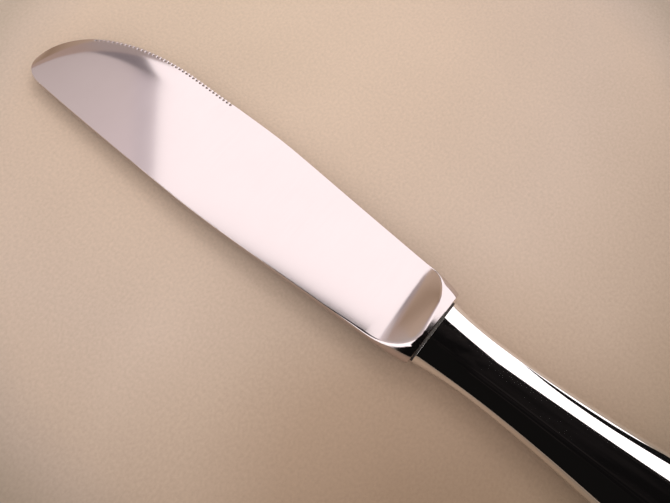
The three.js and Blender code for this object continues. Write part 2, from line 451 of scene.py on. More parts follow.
@dataclass(frozen=True)
class TablePaper(Finish):
    """Pale tan paper with faint fibres; its colour holds a painted pool of light, a painted shadow beside
    the handle and painted shade towards the corners of the view.
    """

    name: str = "table_paper"
    # Painted pool of light: the paper's colour is lightest round this centre and darker with distance from
    # it.
    centre: Triple = (0.0855, -0.0345, 0.0)
    tones: tuple = (
        (0.0, (0.685, 0.51, 0.385)),
        (0.045, (0.665, 0.49, 0.375)),
        (0.075, (0.61, 0.455, 0.36)),
        (0.090, (0.565, 0.415, 0.32)),
        (0.100, (0.51, 0.37, 0.28)),
        (0.110, (0.43, 0.305, 0.22)),
        (0.122, (0.345, 0.24, 0.16)),
        (0.138, (0.29, 0.20, 0.13)),
        (0.190, (0.42, 0.305, 0.22)),
        (0.300, (0.64, 0.485, 0.38)),
    )
    # Painted shadow of the handle: the paper's colour is darkened round this place beside the handle.
    shade_centre: Triple = (0.0005, 0.0265, 0.0)
    shades: tuple = (
        (0.0, (0.71, 0.64, 0.56)),
        (0.018, (0.77, 0.71, 0.64)),
        (0.034, (0.92, 0.90, 0.87)),
        (0.050, (1.0, 1.0, 1.0)),
    )
    # Painted shade towards the corners of the view: the paper's colour is darkened in a ring round the
    # middle of the view.
    view_corner_shade_centre: Triple = (0.0405, -0.0160, 0.0)
    view_corner_shade_tones: tuple = (
        (0.069, (1.0, 1.0, 1.0)),
        (0.076, (0.91, 0.93, 0.96)),
        (0.083, (0.77, 0.80, 0.81)),
        (0.110, (0.86, 0.88, 0.89)),
        (0.140, (1.0, 1.0, 1.0)),
    )
    ring_scale: float = 2.5
    roughness: float = 0.8
    unevenness: float = 0.1
    gloss: float = 0.3
    fibre_grain: Triple = (1900.0, 1500.0, 1900.0)
    fibre_height: float = 0.00006
    fibre_share: float = 0.6
    cloud_grain: Triple = (24.0, 24.0, 24.0)
    fleck_stops: tuple = ((0.3, (0.875, 0.87, 0.86)), (0.7, (1.055, 1.055, 1.055)))

    def _rings(self, shader: Shader, centre: Triple, tones: tuple) -> Wire:
        """Tone that follows the distance from a place.

        Args:
            shader: Node tree of the paper.
            centre: The place in metres.
            tones: Pairs of distance in metres and colour.

        Returns:
            The tone.
        """
        inputs = {0: shader.place((1.0, 1.0, 1.0)), 1: centre}
        away = shader.node("ShaderNodeVectorMath", {"operation": "DISTANCE"}, inputs).out("Value")
        stops = [(place * self.ring_scale, colour) for place, colour in tones]
        return shader.ramp(away * self.ring_scale, stops)

    def lay(self, shader: Shader) -> None:
        """Lays the painted pool of light, the painted shadow and the painted corner shade, each by
        distance, and the flecks of the fibres.

        Args:
            shader: Node tree of the material.
        """
        fibres = shader.grain(self.fibre_grain, 3.0)
        clouds = shader.grain(self.cloud_grain, 2.0)
        # Painted pool of light in the paper's colour.
        tone = self._rings(shader, self.centre, self.tones)
        # Painted shadow beside the handle, in the paper's colour.
        shade = self._rings(shader, self.shade_centre, self.shades)
        mottle = fibres * self.fibre_share + clouds * (1 - self.fibre_share)
        fleck = shader.ramp(mottle, list(self.fleck_stops))
        # Painted shade towards the corners of the view, in the paper's colour.
        view_corner_shade = self._rings(shader, self.view_corner_shade_centre, self.view_corner_shade_tones)
        # The paper's colour is the painted light and shade times the flecks of the fibres.
        tint = shader.multiply(shader.multiply(shader.multiply(tone, shade), view_corner_shade), fleck)
        rough = self.roughness + shader.swing(fibres, self.unevenness)
        inputs = {"Base Color": tint, "Roughness": rough, "Specular IOR Level": self.gloss}
        inputs["Normal"] = shader.bump(fibres, self.fibre_height)
        shader.finish(inputs)


@dataclass(frozen=True)
class Glow(Finish):
    """Even light given off by a card of the studio; nearly black at a low level."""

    colour: Colour
    level: float

    def lay(self, shader: Shader) -> None:
        """Lays the even glow.

        Args:
            shader: Node tree of the material.
        """
        inputs = {"Color": (*self.colour, 1.0), "Strength": self.level}
        glow = shader.node("ShaderNodeEmission", {}, inputs)
        shader.node("ShaderNodeOutputMaterial", {}, {"Surface": glow.out()})


@dataclass(frozen=True)
class GradedGlow(Finish):
    """Light given off by a card of the studio that changes along one axis."""

    axis: str
    reach: tuple[float, float]
    tones: tuple

    def lay(self, shader: Shader) -> None:
        """Lays the tones along the axis.

        Args:
            shader: Node tree of the material.
        """
        start, end = self.reach
        share = (shader.along(self.axis) - start) * (1 / (end - start))
        shader.shine(shader.ramp(share, list(self.tones)))


@dataclass(frozen=True)
class CeilingDusk(Finish):
    """Dark ceiling with faint long beams, as the top of the handle mirrors it."""

    name: str = "ceiling_dusk"
    dark: Colour = (0.004, 0.0035, 0.0035)
    beam: Colour = (0.030, 0.024, 0.023)
    beam_grain: Triple = (2.2, 26.0, 1.0)
    beam_stops: tuple = ((0.5, 0.0), (0.8, 1.0))

    def lay(self, shader: Shader) -> None:
        """Lays the beams.

        Args:
            shader: Node tree of the material.
        """
        share = shader.ramp(shader.grain(self.beam_grain, 4.0), list(self.beam_stops))
        shader.shine(shader.blend(share, self.dark, self.beam))


def mesh_object(
    name: str, points: np.ndarray, faces: list, material: bpy.types.Material
) -> bpy.types.Object:
    """Smooth mesh object with sharp edges where its faces turn.

    Args:
        name: Name of the object.
        points: Corners in metres.
        faces: Corner numbers of each face.
        material: Its finish.

    Returns:
        The object, linked to the scene.
    """
    mesh = bpy.data.meshes.new(name)
    mesh.from_pydata(points.tolist(), [], faces)
    edit = bmesh.new()
    edit.from_mesh(mesh)
    bmesh.ops.remove_doubles(edit, verts=edit.verts, dist=MERGE_DISTANCE)
    bmesh.ops.dissolve_degenerate(edit, edges=edit.edges, dist=LEAST_EDGE)
    bmesh.ops.recalc_face_normals(edit, faces=edit.faces)
    edit.to_mesh(mesh)
    edit.free()
    mesh.shade_smooth()
    mesh.set_sharp_from_angle(angle=math.radians(CREASE_DEGREES))
    mesh.materials.append(material)
    made = bpy.data.objects.new(name, mesh)
    bpy.context.scene.collection.objects.link(made)
    return made


def ring_faces(rows: int, columns: int) -> list:
    """Faces of a row of closed rings, with a flat cap at each end.

    Args:
        rows: Number of rings.
        columns: Points round each ring.

    Returns:
        Corner numbers of each face.
    """
    i, j = np.meshgrid(np.arange(rows - 1), np.arange(columns), indexing="ij")
    a = i * columns + j
    b = i * columns + (j + 1) % columns
    walls = np.stack([a, b, b + columns, a + columns], axis=-1).reshape(-1, 4).tolist()
    last = (rows - 1) * columns
    caps = [list(range(columns - 1, -1, -1)), list(range(last, last + columns))]
    return walls + caps


@dataclass(frozen=True)
class KnifeAxes:
    """Where the knife's own axes lie on the table, in millimetres."""

    joint_place: float = 10.875
    axis_place: float = 1.1336
    mouth_thickness: float = 8.4
    butt_thickness: float = 11.8
    butt_place: float = 88.0
    joint_gap: float = 0.45

    @property
    def slope(self) -> float:
        """Fall of the middle plane towards the tip."""
        return (self.butt_thickness - self.mouth_thickness) / (2 * self.butt_place)

    def middle(self, x: np.ndarray | float) -> np.ndarray | float:
        """Height of the middle plane at a place along the knife."""
        return self.mouth_thickness / 2 - self.slope * (x + self.joint_gap)

    def seat(self, x: np.ndarray, y: np.ndarray, z: np.ndarray) -> np.ndarray:
        """Points of the table's frame in metres.

        Args:
            x: From the joint face towards the tip.
            y: From the handle's axis towards the spine.
            z: Height above the middle plane.

        Returns:
            The points, one per row.
        """
        place = np.stack([x + self.joint_place, y + self.axis_place, z + self.middle(x)], axis=-1)
        return place.reshape(-1, 3) * MILLIMETRE


class Outline:
    """One side of the blade's outline: a quadratic bolster side and cubic stretches."""

    def __init__(self, start: tuple, swell: tuple, heel: tuple, stretches: list) -> None:
        """Samples the outline.

        Args:
            start: Corner at the joint face.
            swell: Control point of the bolster's side.
            heel: Where the bolster's side ends.
            stretches: Two control points and an end for each cubic stretch.
        """
        t = np.linspace(0, 1, OUTLINE_POINTS)[:, None]
        a, b, c = (np.array(p, float) for p in (start, swell, heel))
        parts = [(1 - t) ** 2 * a + 2 * (1 - t) * t * b + t**2 * c]
        at = c
        for stretch in stretches:
            p, q, end = (np.array(point, float) for point in stretch)
            parts.append((1 - t) ** 3 * at + 3 * (1 - t) ** 2 * t * p + 3 * (1 - t) * t**2 * q + t**3 * end)
            at = end
        self.points = np.vstack(parts)

    def across(self, x: np.ndarray) -> np.ndarray:
        """Place across the knife at places along it."""
        return np.interp(x, self.points[:, 0], self.points[:, 1])

    def steepness(self, x: np.ndarray) -> np.ndarray:
        """Length of the outline for each millimetre along the knife.

        Args:
            x: Places along the knife.

        Returns:
            The length at each place.
        """
        step = 0.02
        rise = (self.across(x + step) - self.across(x - step)) / (2 * step)
        return np.sqrt(1 + rise**2)


@dataclass
class Blade:
    """Blade, scooped bolster and tang in one forging; sizes in millimetres."""

    axes: KnifeAxes
    reach: float = 95.2
    width: float = 22.4
    heel_place: float = 8.5
    heel_shares: tuple = (-0.434, 0.367)
    edge_shares: tuple = (
        ((0.547, -0.581), (0.377, -0.565), (0.698, -0.565)),
        ((0.956, -0.565), (1.0, -0.031), (1.0, 0.143)),
    )
    spine_shares: tuple = (
        ((0.269, 0.393), (0.409, 0.43), (0.528, 0.43)),
        ((0.56, 0.43), (0.843, 0.395), (0.943, 0.366)),
        ((0.99, 0.36), (1.0, 0.24), (1.0, 0.143)),
    )
    fall_end_share: float = 0.943
    spine_thickness: float = 2.2
    spine_tip_thickness: float = 1.3
    edge_thickness: float = 0.36
    tip_grind_width: float = 4.0
    tip_grind_rounding: float = 2.0
    bulge_share: float = 0.25
    bulge_limit: float = 1.15
    roll_height: float = 0.22
    roll_width: float = 4.6
    spine_rounding: float = 2.4
    flat_share: float = 0.32
    bolster_thickness: float = 8.2
    end_edge: float = -8.35
    end_spine: float = 7.35
    swell_shares: tuple = (0.3, 0.75)
    scoop_place: float = 7.0
    scoop_bend: float = 2.0
    scoop_rise: float = 0.60
    scoop_twist: float = 0.026
    scoop_hollow: float = 0.15
    ridge_rounding: float = 0.36
    ridge_share: float = 0.7
    end_rounding: float = 0.07
    tooth_count: int = 37
    tooth_pitch: float = 0.9
    tooth_place: float = 57.9
    tooth_depth: float = 0.18
    tooth_width: float = 0.5
    tooth_margin: float = 0.9
    gullet: tuple[float, float, float] = (0.17, 0.17, 0.42)
    least_half: float = 0.04
    least_side: float = 1.0
    tang_length: float = 60.0
    tang_overlap: float = 1.0
    tang_sizes: tuple = ((7.0, 2.6), (5.0, 2.0))
    tang_corner: float = 0.35
    tang_taper: float = 0.4
    tang_taper_share: float = 0.84
    side_steps: int = 24
    flat_steps: int = 30
    nose_steps: int = 36
    heel_margin: float = 1.5
    heel_step: float = 0.11
    flank_step: float = 0.55
    tooth_step: float = 0.1
    edge: Outline = field(init=False)
    spine: Outline = field(init=False)
    teeth: np.ndarray = field(init=False)

    def __post_init__(self) -> None:
        """Draws the outline and sets out the notches."""
        self.edge = self._outline(self.end_edge, self.heel_shares[0], self.edge_shares)
        self.spine = self._outline(self.end_spine, self.heel_shares[1], self.spine_shares)
        places = [self.tooth_place]
        for _ in range(self.tooth_count - 1):
            steep = float(self.edge.steepness(np.array([places[-1] + self.tooth_pitch / 2]))[0])
            places.append(places[-1] + self.tooth_pitch / steep)
        self.teeth = np.array(places)

    def _outline(self, end: float, heel_share: float, shares: tuple) -> Outline:
        """One side of the outline in millimetres.

        Args:
            end: Corner at the joint face.
            heel_share: Place of the heel across the knife.
            shares: Points of the cubic stretches, as shares of reach and width.

        Returns:
            The sampled outline.
        """
        heel = (self.heel_place, self.width * heel_share)
        place, part = self.swell_shares
        swell = (self.heel_place * place, end + (heel[1] - end) * part)
        points = [[(self.reach * u, self.width * v) for u, v in stretch] for stretch in shares]
        return Outline((0.0, end), swell, heel, points)

    def _stations(self) -> np.ndarray:
        """Places of the sections, dense on the bolster, the notches and the nose.

        Returns:
            The places, from the joint face to the tip.
        """
        turn = np.linspace(0, math.pi / 2, ROUNDING_STEPS)
        heel = self.heel_place + self.heel_margin
        teeth_start, teeth_end = self.teeth[0] - self.tooth_margin, self.teeth[-1] + self.tooth_margin
        return np.unique(np.concatenate([
            self.end_rounding * (1 - np.cos(turn)),
            np.arange(self.end_rounding, heel, self.heel_step),
            np.arange(heel, teeth_start, self.flank_step),
            np.arange(teeth_start, teeth_end, self.tooth_step),
            crowded(teeth_end, self.reach, self.nose_steps),
        ]))

    def _notching(self, x: np.ndarray) -> np.ndarray:
        """How deep the notches reach at places along the blade, as a share of their depth."""
        near = np.abs(x[:, None] - self.teeth[None, :]).min(axis=1) / (self.tooth_width / 2)
        return np.sqrt(np.clip(1 - near**2, 0, 1))

    def _gullets(self, x: np.ndarray, inside: np.ndarray) -> np.ndarray:
        """Depth that the stone takes off each flank round a notch.

        Args:
            x: Places along the blade, one for each section.
            inside: Distances inside the edge, one row for each section.

        Returns:
            The depth at each place.
        """
        depth, length, width = self.gullet
        near = np.abs(x[:, None] - self.teeth[None, :]).min(axis=1)[:, None]
        rise = np.where(inside < width, np.clip(inside / width, 0, 1), 0)
        return depth * np.exp(-((near / length) ** 2)) * rise

    def _flank(self, x: np.ndarray, y: np.ndarray) -> np.ndarray:
        """Half thickness of the ground blade and of its scoop.

        Args:
            x: Places along the knife.
            y: Places across it.

        Returns:
            The half thickness at each place.
        """
        high = self.spine.across(np.minimum(x, self.reach * self.fall_end_share))
        low = smooth_min(self.edge.across(x), high - self.tip_grind_width, self.tip_grind_rounding)
        across = np.clip((y - low) / (high - low), 0, self.bulge_limit)
        along = np.clip((x - self.heel_place) / (self.reach - self.heel_place), 0, 1)
        spine = self.spine_thickness + (self.spine_tip_thickness - self.spine_thickness) * along
        inside = np.clip((y - self.edge.across(x)) / self.edge.steepness(x), 0, None)
        roll = 1 - np.clip(1 - inside / self.roll_width, 0, 1) ** 2
        core = spine / 2 - self.edge_thickness / 2 - self.roll_height
        rise = across * (1 + self.bulge_share * (1 - across))
        return self.edge_thickness / 2 + self.roll_height * roll + core * rise + self._scoop(x, y)

    def _scoop(self, x: np.ndarray, y: np.ndarray) -> np.ndarray:
        """Height of the scoop above the flank, a bend and then a ramp that steepens a little.

        Args:
            x: Places along the knife.
            y: Places across it.

        Returns:
            The height at each place.
        """
        run = self.scoop_place - x
        near = np.clip(np.minimum(run, self.scoop_bend) + self.scoop_bend, 0, None)
        bend = near**2 / (4 * self.scoop_bend)
        ramp = bend + np.clip(run - self.scoop_bend, 0, None)
        hollow = self.scoop_hollow * ramp * (ramp / self.scoop_place - 1)
        return (ramp + hollow) * (self.scoop_rise - self.scoop_twist * y)

    def _sections(self) -> tuple[np.ndarray, np.ndarray, np.ndarray]:
        """Upper half of every section, from the spine over the top to the edge.

        Returns:
            Places along, across and above the middle plane, one row per section.
        """
        x = self._stations()[:, None]
        notched = self._notching(x[:, 0])[:, None]
        low = self.edge.across(x) + self.tooth_depth * notched
        high = np.maximum(self.spine.across(x), low)
        middle, half = (low + high) / 2, (high - low) / 2
        thinned = np.clip(x / self.heel_place - 1, 0, 1)
        flat = half * self.flat_share * (1 - thinned) + np.maximum(half - self.spine_rounding, 0) * thinned
        turn = np.linspace(0, math.pi / 2, self.side_steps + 1)[None, :]
        run = np.linspace(1, -1, self.flat_steps + 2)[None, 1:-1]
        rise = self.bolster_thickness / 2
        side = half - flat
        y = np.hstack([flat + side * np.cos(turn), flat * run, -flat - side * np.sin(turn)])
        height = np.hstack([np.sin(turn), np.ones_like(run), np.cos(turn)]) * rise
        y = middle + y
        flank = self._flank(x + np.zeros_like(y), y)
        round_off = np.minimum(self.ridge_rounding, self.ridge_share * flank)
        z = smooth_min(height + np.zeros_like(y), flank, round_off)
        z = np.maximum(z - self._gullets(x[:, 0], y - low), np.minimum(z, self.least_half))
        lip = np.clip(self.end_rounding - x, 0, None)
        inset = self.end_rounding - np.sqrt(np.clip(self.end_rounding**2 - lip**2, 0, None))
        y = middle + (y - middle) * (1 - inset / np.maximum(half, self.least_side))
        z = z * (1 - inset / rise)
        return x + np.zeros_like(y), y, z

    def _tang(self) -> tuple[np.ndarray, list]:
        """Flat bar behind the bolster.

        Returns:
            Its corners in metres and its faces, numbered from 0.
        """
        rings = []
        for x, (width, thickness), shrink in (
            (self.tang_overlap, self.tang_sizes[0], 1.0),
            (-self.tang_length + self.tang_taper, self.tang_sizes[1], 1.0),
            (-self.tang_length, self.tang_sizes[1], self.tang_taper_share),
        ):
            w, h, c = width / 2 * shrink, thickness / 2 * shrink, self.tang_corner
            top = [(w, h - c), (w - c, h), (c - w, h), (-w, h - c)]
            corners = top + [(-y, -z) for y, z in top]
            rings.append([(x, y, z) for y, z in corners])
        ring = np.array(rings).reshape(-1, 3)
        return self.axes.seat(ring[:, 0], ring[:, 1], ring[:, 2]), ring_faces(3, 8)

    def build(self, steel: bpy.types.Material) -> bpy.types.Object:
        """Builds the forging in place of its solid.

        Args:
            steel: Its finish.

        Returns:
            The piece.
        """
        x, y, z = self._sections()
        lower = slice(-2, 0, -1)
        ring_x, ring_y = np.hstack([x, x[:, lower]]), np.hstack([y, y[:, lower]])
        ring_z = np.hstack([z, -z[:, lower]])
        ring_z[:, 0] = 0
        ring_z[:, x.shape[1] - 1] = 0
        points = self.axes.seat(ring_x, ring_y, ring_z)
        faces = ring_faces(*ring_x.shape)
        bar, bar_faces = self._tang()
        faces += [[corner + len(points) for corner in face] for face in bar_faces]
        piece = mesh_object("knife_blade", np.vstack([points, bar]), faces, steel)
        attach(piece, BODY)
        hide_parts("blade")
        return piece


@dataclass
class Handle:
    """Two stamped half shells with their solder seam; sizes in millimetres."""

    axes: KnifeAxes
    length: float = 116.5
    mouth_width: float = 13.4
    waist_width: float = 11.4
    waist_place: float = 11.2
    neck_hollow: float = 1.6
    swell_place: float = 80.0
    butt_width: float = 20.8
    round_powers: tuple = (2.4, 2.0)
    wall: float = 0.55
    seam_height: float = 0.2
    seam_clearance: float = 0.02
    flat_share: float = 0.32
    mouth_rounding: float = 0.02
    side_steps: int = 30
    flat_steps: int = 8
    inner_steps: tuple[int, int] = (14, 4)
    length_step: float = 0.5
    butt_steps: int = 54

    def _stations(self) -> np.ndarray:
        """Distances behind the mouth at which sections lie.

        Returns:
            The distances, from the mouth to the end of the butt.
        """
        turn = np.linspace(0, math.pi / 2, ROUNDING_STEPS)
        place = self.axes.butt_place
        return np.unique(np.concatenate([
            self.mouth_rounding * (1 - np.cos(turn)),
            np.arange(self.mouth_rounding, place, self.length_step),
            crowded(place, self.length, self.butt_steps),
        ]))

    def _fall(self, back: np.ndarray) -> np.ndarray:
        """Share of the full section that is left towards the round end.

        Args:
            back: Distances behind the mouth.

        Returns:
            The share at each distance.
        """
        power, root = self.round_powers
        share = np.clip((back - self.axes.butt_place) / (self.length - self.axes.butt_place), 0, 1)
        return np.clip(1 - share**power, 0, 1) ** (1 / root)

    def _shares(self, back: np.ndarray) -> tuple[np.ndarray, np.ndarray]:
        """Shares of the flare at the mouth and of the swell at a distance behind the mouth."""
        flare = np.clip(1 - back / self.waist_place, 0, 1) ** 2
        return flare, ease(np.clip((back - self.waist_place) / (self.swell_place - self.waist_place), 0, 1))

    def half_width(self, back: np.ndarray) -> np.ndarray:
        """Half width at a distance behind the mouth.

        Args:
            back: Distances behind the mouth.

        Returns:
            The half width at each distance.
        """
        flare, swell = self._shares(back)
        full = self.waist_width + (self.mouth_width - self.waist_width) * flare
        return (full + (self.butt_width - self.waist_width) * swell) / 2 * self._fall(back)

    def half_height(self, back: np.ndarray) -> np.ndarray:
        """Half thickness at a distance behind the mouth.

        Args:
            back: Distances behind the mouth.

        Returns:
            The half thickness at each distance.
        """
        flare, swell = self._shares(back)
        level = self.axes.mouth_thickness / 2 + self.axes.slope * np.minimum(back, self.axes.butt_place)
        return (level - self.neck_hollow * (1 - flare - swell)) * self._fall(back)

    def _arc(
        self, back: np.ndarray, inset: np.ndarray, lift: float, steps: tuple[int, int]
    ) -> tuple[np.ndarray, np.ndarray]:
        """Upper half of every section, from the spine side over the top.

        Args:
            back: Distances behind the mouth, as a column.
            inset: How far the section is drawn in, as a column.
            lift: Height above the middle plane at which the arc ends.
            steps: Steps round each side and along the flat.

        Returns:
            Places across and above the middle plane, one row per section.
        """
        half = np.maximum(self.half_width(back) - inset, 0)
        rise = np.maximum(self.half_height(back) - inset, 0)
        start = np.arcsin(np.clip(lift / np.maximum(rise, lift), 0, 1))
        turn = start + (math.pi / 2 - start) * np.linspace(0, 1, steps[0] + 1)[None, :]
        flat = half * self.flat_share
        run = np.linspace(1, -1, steps[1] + 2)[None, 1:-1]
        side_y, side_z = flat + (half - flat) * np.cos(turn), rise * np.sin(turn)
        y = np.hstack([side_y, flat * run, -side_y[:, ::-1]])
        z = np.hstack([side_z, rise + 0 * flat * run, side_z[:, ::-1]])
        return y, np.maximum(z, np.minimum(lift, z + lift))

    def _shell(self, name: str, node: str, side: float, silver: bpy.types.Material) -> bpy.types.Object:
        """One half shell.

        Args:
            name: Name of the piece.
            node: Solid that it replaces.
            side: 1 for the upper shell, -1 for the lower.
            silver: Its finish.

        Returns:
            The piece.
        """
        back = self._stations()[:, None]
        lift = self.seam_height / 2 + self.seam_clearance
        lip = np.clip(self.mouth_rounding - back, 0, None)
        inset = self.mouth_rounding - np.sqrt(self.mouth_rounding**2 - lip**2)
        outer = self._arc(back, inset, lift, (self.side_steps, self.flat_steps))
        inner = self._arc(back, np.full_like(back, self.wall), lift, self.inner_steps)
        y = np.hstack([outer[0], inner[0][:, ::-1]])
        z = np.hstack([outer[1], inner[1][:, ::-1]]) * side
        x = -self.axes.joint_gap - back + np.zeros_like(y)
        piece = mesh_object(name, self.axes.seat(x, y, z), ring_faces(*y.shape), silver)
        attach(piece, BODY)
        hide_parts(node)
        return piece

    def _seam(self, solder: bpy.types.Material) -> bpy.types.Object:
        """Solder seam, a thin band round the handle.

        Args:
            solder: Its finish.

        Returns:
            The piece.
        """
        back = self._stations()
        half = self.half_width(back)
        inner_back = np.minimum(back, self.length - self.wall)
        inner = np.maximum(half - self.wall, 0)
        outline = np.vstack([np.column_stack([back, half]), np.column_stack([back, -half])[-2::-1]])
        inner_side = [np.column_stack([inner_back, inner]), np.column_stack([inner_back, -inner])[-2::-1]]
        rows = []
        for outside, inside in zip(outline, np.vstack(inner_side)):
            for (at, across), up in ((outside, 1), (outside, -1), (inside, -1), (inside, 1)):
                rows.append((-self.axes.joint_gap - at, across, up * self.seam_height / 2))
        ring = np.array(rows)
        points = self.axes.seat(ring[:, 0], ring[:, 1], ring[:, 2])
        piece = mesh_object("handle_seam", points, ring_faces(len(outline), 4), solder)
        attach(piece, BODY)
        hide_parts("solder_seam")
        return piece

    def build(self, silver: bpy.types.Material, solder: bpy.types.Material) -> list[bpy.types.Object]:
        """Builds the shells and their seam.

        Args:
            silver: Finish of the shells.
            solder: Finish of the seam.

        Returns:
            The three pieces.
        """
        upper = self._shell("handle_upper", "handle_shell_upper", 1.0, silver)
        lower = self._shell("handle_lower", "handle_shell_lower", -1.0, silver)
        return [upper, lower, self._seam(solder)]


@dataclass
class JointFittings:
    """Mouth plate and cement, which keep the shape of their solids."""

    plate_node: str = "mouth_plate"
    cement_node: str = "handle_cement"

    def dress(self, silver: bpy.types.Material, cement: bpy.types.Material) -> list[bpy.types.Object]:
        """Gives both solids their finish.

        Args:
            silver: Finish of the plate.
            cement: Finish of the cement.

        Returns:
            The two solids.
        """
        dressed = []
        for node, finish in ((self.plate_node, silver), (self.cement_node, cement)):
            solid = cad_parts[node]
            for holder in solid.material_slots:
                holder.material = finish
            dressed.append(solid)
        return dressed


@dataclass
class Viewpoint:
    """Camera over the knife; places in millimetres."""

    place: Triple = (10.265, 38.32, 119.77)
    right: Triple = (-0.78191, -0.62143, 0.04931)
    down: Triple = (-0.59518, 0.72067, -0.35554)
    focal_pixels: float = 680.0
    image_width: float = 670.0
    sensor: float = 36.0
    clip: tuple[float, float] = (0.005, 50.0)

    def build(self) -> bpy.types.Object:
        """Makes the camera.

        Returns:
            The camera.
        """
        data = bpy.data.cameras.new("camera")
        data.sensor_fit = "HORIZONTAL"
        data.sensor_width = self.sensor
        data.lens = self.sensor * self.focal_pixels / self.image_width
        data.clip_start, data.clip_end = self.clip
        camera = bpy.data.objects.new("camera", data)
        right = Vector(self.right).normalized()
        back = right.cross(-Vector(self.down)).normalized()
        up = back.cross(right)
        turn = Matrix((right, up, back)).transposed().to_4x4()
        camera.matrix_world = Matrix.Translation(Vector(self.place) * MILLIMETRE) @ turn
        bpy.context.scene.collection.objects.link(camera)
        bpy.context.scene.camera = camera
        return camera


@dataclass
class Studio:
    """Table, soft light and the cards that a polished knife mirrors.

    The cards are laid out as a level mirror under the camera shows them: to the right and down the
    image, for each unit of height. Only mirror rays see them.
    """

    view: Viewpoint
    table_half: float = 2.5
    ambient: Colour = (0.90, 0.895, 0.885)
    backdrop: Colour = (0.80, 0.72, 0.64)
    box_height: float = 0.7
    window: Colour = (1.0, 0.935, 0.945)
    window_level: float = 1.66
    window_turns: tuple = (4, 30, 60, 100)
    window_distance: float = 1.6
    near_edge: tuple = (
        (-0.255, -0.52), (-0.17, -0.478), (0.06, -0.352), (0.14, -0.305),
        (0.26, -0.245), (0.45, -0.125), (0.62, -0.02), (1.7, 0.62),
    )
    far_edge: tuple = ((3.2, -1.2), (3.2, -3.6), (-0.24, -3.6), (-0.255, -0.8))
    veil: tuple = ((-0.25, -0.40), (-0.25, -1.8), (-1.3, -1.8), (-1.3, -0.36))
    veil_reach: tuple[float, float] = (0.47, 0.80)
    veil_tones: tuple = ((0.0, (1.02, 0.885, 0.91)), (0.5, (0.85, 0.75, 0.737)), (1.0, (0.67, 0.59, 0.565)))
    gap: tuple = (
        (-0.25, -0.74), (-0.24, -0.96), (-0.36, -1.08), (-0.53, -1.27), (-0.75, -1.50),
        (-0.84, -1.40), (-0.64, -1.18), (-0.48, -1.0), (-0.36, -0.85),
    )
    gap_colour: Colour = (0.30, 0.26, 0.275)
    seam: tuple = ((-0.25, -0.76), (-0.25, -0.42), (-0.284, -0.42), (-0.30, -0.78))
    seam_colour: Colour = (0.84, 0.75, 0.78)
    card_gaps: tuple[float, float, float] = (0.01, 0.005, 0.004)
    side_box: tuple = ((-0.42, -0.34), (-0.42, 0.6), (-3.0, 1.2), (-3.0, -0.34))
    side_level: float = 1.9
    side_drop: float = 0.02
    side_turns: tuple = (-138, -110, -85, -60)
    wall_turns: tuple = (-60, -48, -36, -24, -12)
    wall_distance: float = 0.82
    wall_joint: float = 0.53
    wall_reach: tuple[float, float] = (-0.53, 0.109)
    low_tones: tuple = (
        (0.0, (0.685, 0.517, 0.395)),
        (0.222, (0.643, 0.486, 0.369)),
        (0.343, (0.548, 0.403, 0.297)),
        (0.437, (0.40, 0.28, 0.19)),
        (0.5125, (0.618, 0.459, 0.345)),
        (0.6, (0.66, 0.517, 0.414)),
        (1.0, (0.70, 0.56, 0.47)),
    )
    high_tones: tuple = (
        (0.0, (0.50, 0.41, 0.39)),
        (0.25, (0.518, 0.432, 0.407)),
        (0.343, (0.542, 0.403, 0.345)),
        (0.47, (0.578, 0.432, 0.362)),
        (0.6, (0.626, 0.556, 0.515)),
    )
    ceiling_half: float = 5.0
    ceiling_height: float = 0.9
    flag_corner: tuple[float, float] = (-0.56, 0.75)
    flag_ends: tuple = ((8.0, 0.75), (-3.6, 4.8))
    flag_height: float = 1.2
    flag_colour: Colour = (1.0, 0.9, 0.85)
    flag_level: float = 0.005
    lamp_colour: Colour = (0.98, 1.0, 1.03)
    lamp_power: float = 1.9
    lamp_height: float = 0.42
    lamp_reach: float = 0.3
    lamp_radius: float = 0.12
    lamp_turn: float = 25.0
    lamp_distance: float = 0.3
    lamp_aim: tuple[float, float] = (-0.1, -0.6)
    arch_foot: Triple = (0.0109, 0.0011, 0.0)
    arch_lift: float = 4.0
    arch_distance: float = 60.0
    arch: tuple = (
        (13.0, 6), (15.0, 12), (18.8, 21), (23.8, 26.5), (29.3, 29.2), (34.8, 29.5),
        (40.3, 27.5), (46.4, 24.5), (58.0, 18), (58.0, -3), (46.4, -2), (40.3, 7),
        (34.8, 11), (29.3, 12), (23.8, 11), (18.8, 8.5), (15.0, 5),
    )

    def _card(
        self, name: str, corners: list, finish: bpy.types.Material, sight: Sight = Sight.MIRROR_ONLY
    ) -> bpy.types.Object:
        """Flat card of the studio.

        Args:
            name: Name of the card.
            corners: Its corners in metres.
            finish: Its finish.
            sight: Which rays see it.

        Returns:
            The card.
        """
        mesh = bpy.data.meshes.new(name)
        mesh.from_pydata([tuple(corner) for corner in corners], [], [list(range(len(corners)))])
        mesh.materials.append(finish)
        card = bpy.data.objects.new(name, mesh)
        bpy.context.scene.collection.objects.link(card)
        for ray in ("camera", "transmission", "volume_scatter", "shadow", "diffuse"):
            setattr(card, f"visible_{ray}", sight is Sight.ALL)
        return card

    def _bases(self) -> tuple[Vector, Vector, Vector]:
        """Lays the camera's axes on the table.

        Returns:
            Foot of the camera, and the image's right and down.
        """
        foot = Vector((self.view.place[0], self.view.place[1], 0.0)) * MILLIMETRE
        across = Vector((self.view.right[0], self.view.right[1], 0.0)).normalized()
        along = Vector((self.view.down[0], self.view.down[1], 0.0)).normalized()
        return foot, across, along

